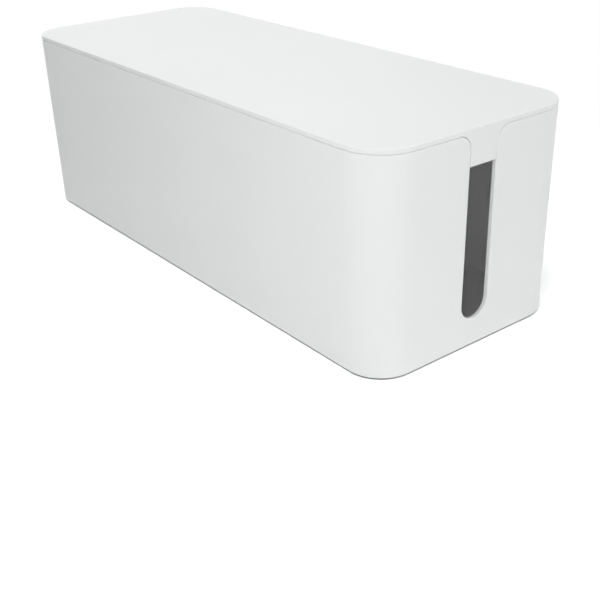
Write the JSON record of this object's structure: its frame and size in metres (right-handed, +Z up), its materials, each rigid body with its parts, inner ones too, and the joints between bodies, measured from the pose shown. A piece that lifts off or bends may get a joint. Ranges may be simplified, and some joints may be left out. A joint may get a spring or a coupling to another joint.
{
  "type": "cable management box",
  "caption": "Long white box with rounded corners and drafted walls, a lift-off lid and a cable slot in each end wall, made to hide power strips and their cords.",
  "frame": {"origin": "on the surface under the feet, below the middle of the box", "axes": "+X along the length towards one slotted end, +Y across the width towards the rear long wall, +Z up through the lid"},
  "size_m": [0.4, 0.156, 0.135],
  "materials": {
    "shell": "white moulded plastic, satin, with a fine even texture",
    "foot_rubber": "dark grey rubber, matt"
  },
  "bodies": {
    "box": {"box_body": "shell", "foot_front_left": "foot_rubber", "foot_front_right": "foot_rubber", "foot_rear_left": "foot_rubber", "foot_rear_right": "foot_rubber"},
    "lid": {"lid": "shell"}
  },
  "joints": [
    {"name": "lid_lift", "type": "slide", "parent": "box", "child": "lid", "axis": [0, 0, 1], "range_m": [0, 0.15]}
  ]
}
